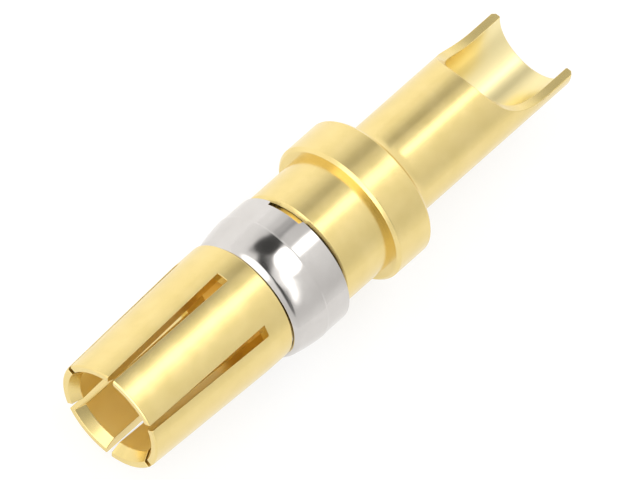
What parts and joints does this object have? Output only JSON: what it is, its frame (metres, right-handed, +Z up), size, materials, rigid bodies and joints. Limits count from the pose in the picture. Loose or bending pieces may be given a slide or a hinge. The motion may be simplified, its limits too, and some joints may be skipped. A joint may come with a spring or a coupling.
{
  "type": "female connector contact",
  "caption": "Turned gold-plated socket contact with slotted spring tines, a locating flange, a sprung steel retaining ring and an open solder cup.",
  "frame": {"origin": "on the contact's axis, in the plane of the flange's front shoulder", "axes": "+X along the axis towards the solder cup, with the mating mouth at -X; +Z is up as the contact lies on a bench, on its flange and one tine, with the solder cup open 27 degrees from +Z towards +Y"},
  "size_m": [0.0223, 0.0058, 0.0058],
  "materials": {
    "gold_plating": "satin gold plating on turned copper alloy",
    "spring_steel": "polished spring steel"
  },
  "bodies": {
    "root": {"contact_body": "gold_plating", "retaining_clip": "spring_steel"}
  },
  "joints": []
}
